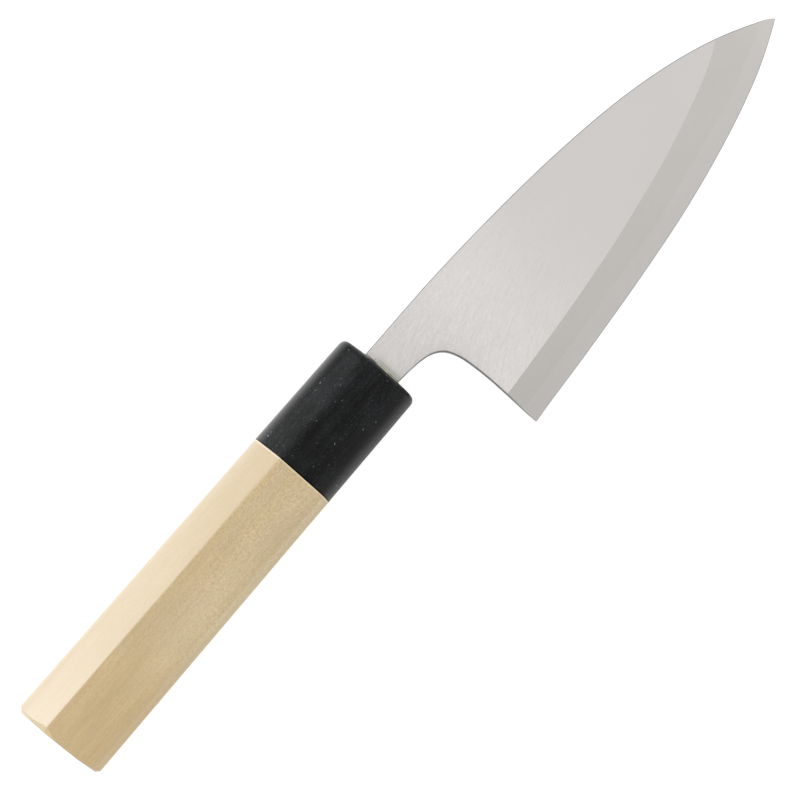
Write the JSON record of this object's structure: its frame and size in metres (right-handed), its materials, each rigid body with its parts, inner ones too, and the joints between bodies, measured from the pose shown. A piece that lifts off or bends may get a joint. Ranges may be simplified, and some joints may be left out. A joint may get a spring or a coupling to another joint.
{
  "type": "deba knife",
  "caption": "Small single-bevel deba knife: laminated blade with a flat hira, a wide bevel and a hollow-ground back, and a chestnut-shaped wooden handle with a horn ferrule.",
  "frame": {"origin": "middle of the bottom of the whole knife's box, with the knife lying on its ura (flat) side", "axes": "+X along the handle towards the tip, +Y towards the spine (the edge faces -Y), +Z out of the bevelled omote side; the blade's back is parallel to XY"},
  "size_m": [0.2582, 0.0516, 0.0206],
  "materials": {
    "soft_iron": "fine brushed satin on the flat, stone-matt on the bevel",
    "hard_steel": "stone-matt bevel, fine ground back",
    "magnolia": "bare sanded magnolia",
    "horn": "polished black buffalo horn",
    "wax": "pale wax or resin bead"
  },
  "bodies": {
    "root": {"blade_cladding": "soft_iron", "edge_steel": "hard_steel", "wood_handle": "magnolia", "horn_ferrule": "horn", "tang_seal": "wax"}
  },
  "joints": []
}
